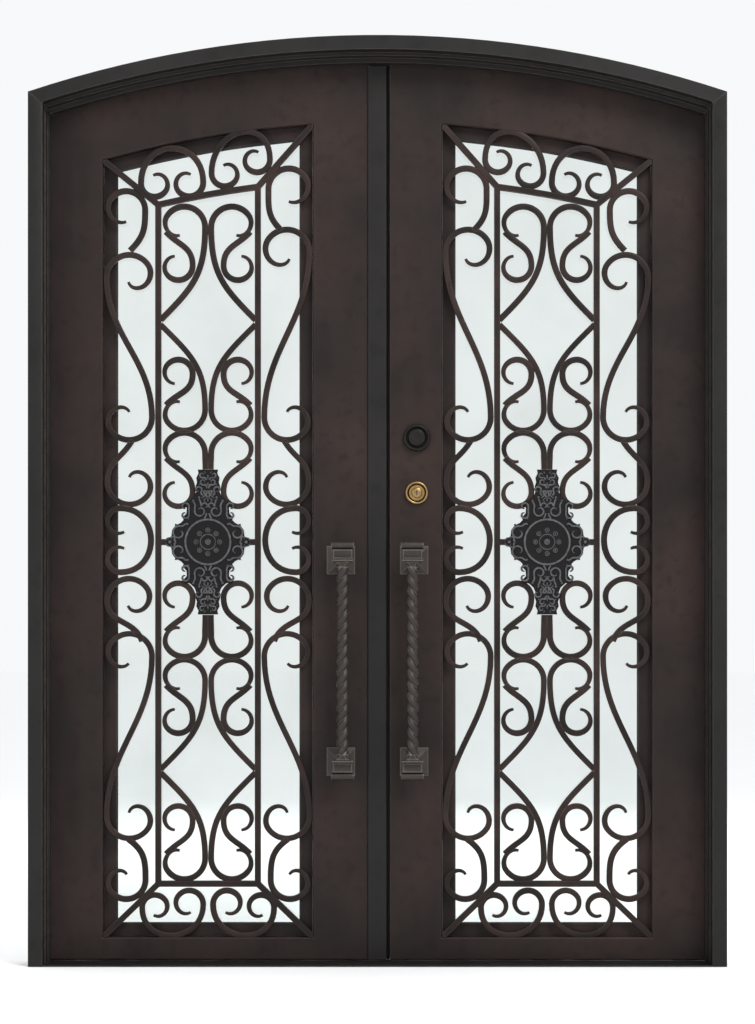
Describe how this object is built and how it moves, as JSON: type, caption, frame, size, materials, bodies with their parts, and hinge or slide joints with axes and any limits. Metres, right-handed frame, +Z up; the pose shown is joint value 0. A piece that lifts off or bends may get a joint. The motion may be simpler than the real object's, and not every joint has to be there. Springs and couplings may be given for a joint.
{
  "type": "wrought iron double entry door",
  "caption": "Arched wrought iron double entry door: glazed inswing leaves with scroll grilles, medallions and twisted pulls, in a welded frame.",
  "frame": {"origin": "on the floor, at the middle of the threshold's width and of the frame's depth", "axes": "+X to the right seen from outside, +Y into the house, +Z up"},
  "size_m": [1.829, 0.2324, 2.4378],
  "materials": {
    "frame_iron": "satin, worn edges",
    "leaf_iron": "hand brushed brown black",
    "grille_iron": "satin, forged",
    "pull_iron": "aged, rubbed",
    "medallion_iron": "dark wax",
    "glass": "clear",
    "rubber": "matte",
    "brass": "satin",
    "lock_bronze": "oiled bronze",
    "hinge_steel": "satin"
  },
  "bodies": {
    "frame": {"jamb_left": "frame_iron", "jamb_right": "frame_iron", "header_arch": "frame_iron", "threshold": "frame_iron", "frame_seal": "rubber", "hinge_barrels_left": "hinge_steel", "hinge_barrels_right": "hinge_steel"},
    "leaf_left": {"hinge_stile_left": "leaf_iron", "meeting_stile_left": "leaf_iron", "top_rail_left": "leaf_iron", "bottom_rail_left": "leaf_iron", "sash_frame_left": "leaf_iron", "glass_left": "glass", "grille_bars_left": "grille_iron", "hinge_side_scrolls_left": "grille_iron", "lock_side_scrolls_left": "grille_iron", "centre_scrolls_left": "grille_iron", "end_scrolls_left": "grille_iron", "medallion_left": "medallion_iron", "pull_roses_left": "pull_iron", "pull_bar_left": "pull_iron", "pull_bar_inside_left": "pull_iron", "hinge_knuckles_left": "hinge_steel", "sash_clamps_left": "hinge_steel", "astragal": "frame_iron"},
    "leaf_right": {"hinge_stile_right": "leaf_iron", "meeting_stile_right": "leaf_iron", "top_rail_right": "leaf_iron", "bottom_rail_right": "leaf_iron", "sash_frame_right": "leaf_iron", "glass_right": "glass", "grille_bars_right": "grille_iron", "hinge_side_scrolls_right": "grille_iron", "lock_side_scrolls_right": "grille_iron", "centre_scrolls_right": "grille_iron", "end_scrolls_right": "grille_iron", "medallion_right": "medallion_iron", "pull_roses_right": "pull_iron", "pull_bar_right": "pull_iron", "pull_bar_inside_right": "pull_iron", "hinge_knuckles_right": "hinge_steel", "sash_clamps_right": "hinge_steel", "lock_cylinder": "brass", "deadbolt_rose": "lock_bronze", "thumb_turns": "lock_bronze"}
  },
  "joints": [
    {"name": "leaf_left_swing", "type": "hinge", "parent": "frame", "child": "leaf_left", "pos_m": [-0.8865, 0.0895, 1.15], "axis": [0, 0, 1], "range_deg": [0, 110]},
    {"name": "leaf_right_swing", "type": "hinge", "parent": "frame", "child": "leaf_right", "pos_m": [0.8865, 0.0895, 1.15], "axis": [0, 0, -1], "range_deg": [0, 110]}
  ]
}
